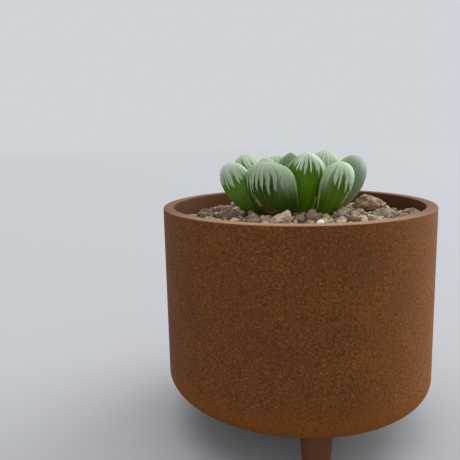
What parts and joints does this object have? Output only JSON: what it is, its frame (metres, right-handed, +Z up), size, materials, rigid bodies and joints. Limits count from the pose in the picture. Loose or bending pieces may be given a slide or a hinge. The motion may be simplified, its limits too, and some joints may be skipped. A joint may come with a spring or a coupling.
{
  "type": "potted haworthia",
  "caption": "Small rosette of plump window leaves in gritty soil with loose stones, in a straight-sided rust-brown stoneware pot that stands on stub feet.",
  "frame": {"origin": "on the surface that the feet stand on, under the pot's axis", "axes": "+Z up along the pot's axis, -Y towards the front, where one foot shows a little to the right"},
  "size_m": [0.1, 0.1, 0.103],
  "materials": {
    "pot_stoneware": "matt rust-brown stoneware with fine pale speckle",
    "leaf": "satin living leaf, deep green below and pale translucent at the tip",
    "stem": "matt pale plant tissue",
    "soil_grit": "dry rough grit",
    "loose_stone": "dry rough stone",
    "bead": "smooth off-white grain"
  },
  "bodies": {
    "root": {"pot": "pot_stoneware", "stem": "stem", "soil": "soil_grit", "bead": "bead", "leaf_heart_1": "leaf", "leaf_heart_2": "leaf", "leaf_inner_1": "leaf", "leaf_inner_2": "leaf", "leaf_inner_3": "leaf", "leaf_middle_1": "leaf", "leaf_middle_2": "leaf", "leaf_middle_3": "leaf", "leaf_middle_4": "leaf", "leaf_middle_5": "leaf", "leaf_middle_6": "leaf", "leaf_outer_1": "leaf", "leaf_outer_2": "leaf", "leaf_outer_3": "leaf", "leaf_outer_4": "leaf", "leaf_outer_5": "leaf", "leaf_outer_6": "leaf", "leaf_outer_7": "leaf", "stone_tan_peak": "loose_stone", "stone_dark_small": "loose_stone", "stone_dark_peak": "loose_stone", "stone_rough": "loose_stone", "stone_big": "loose_stone", "stone_grey": "loose_stone", "stone_grey_small": "loose_stone", "stone_right": "loose_stone", "stone_left": "loose_stone", "stone_left_brown": "loose_stone", "stone_left_back": "loose_stone", "stone_left_low": "loose_stone", "stone_back": "loose_stone", "stone_back_left": "loose_stone"}
  },
  "joints": []
}
